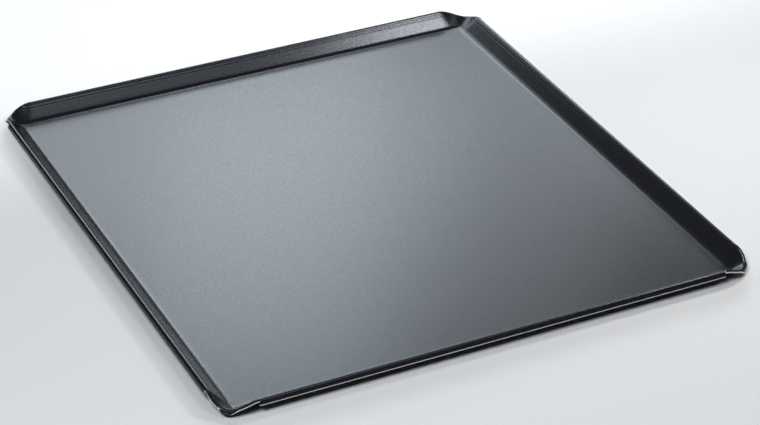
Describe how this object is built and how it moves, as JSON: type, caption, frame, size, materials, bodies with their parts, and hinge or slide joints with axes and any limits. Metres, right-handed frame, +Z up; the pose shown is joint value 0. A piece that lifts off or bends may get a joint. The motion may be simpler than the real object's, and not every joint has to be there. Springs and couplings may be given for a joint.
{
  "type": "cookie sheet",
  "caption": "Shallow rectangular steel baking sheet with leaning walls, a folded rim along each side, low soft corners and a dark non-stick coat on both faces.",
  "frame": {"origin": "middle of the underside of the flat floor, at table level", "axes": "+Z up out of the sheet, +Y along the long side, +X along the short side"},
  "size_m": [0.3684, 0.4004, 0.0108],
  "materials": {
    "bare_steel": "sheared edge",
    "upper_coat": "dark slate non-stick, satin with a fine metallic speckle",
    "lower_coat": "dark slate non-stick, satin"
  },
  "bodies": {
    "root": {"steel_sheet": "bare_steel", "upper_nonstick_coat": "upper_coat", "lower_nonstick_coat": "lower_coat"}
  },
  "joints": []
}
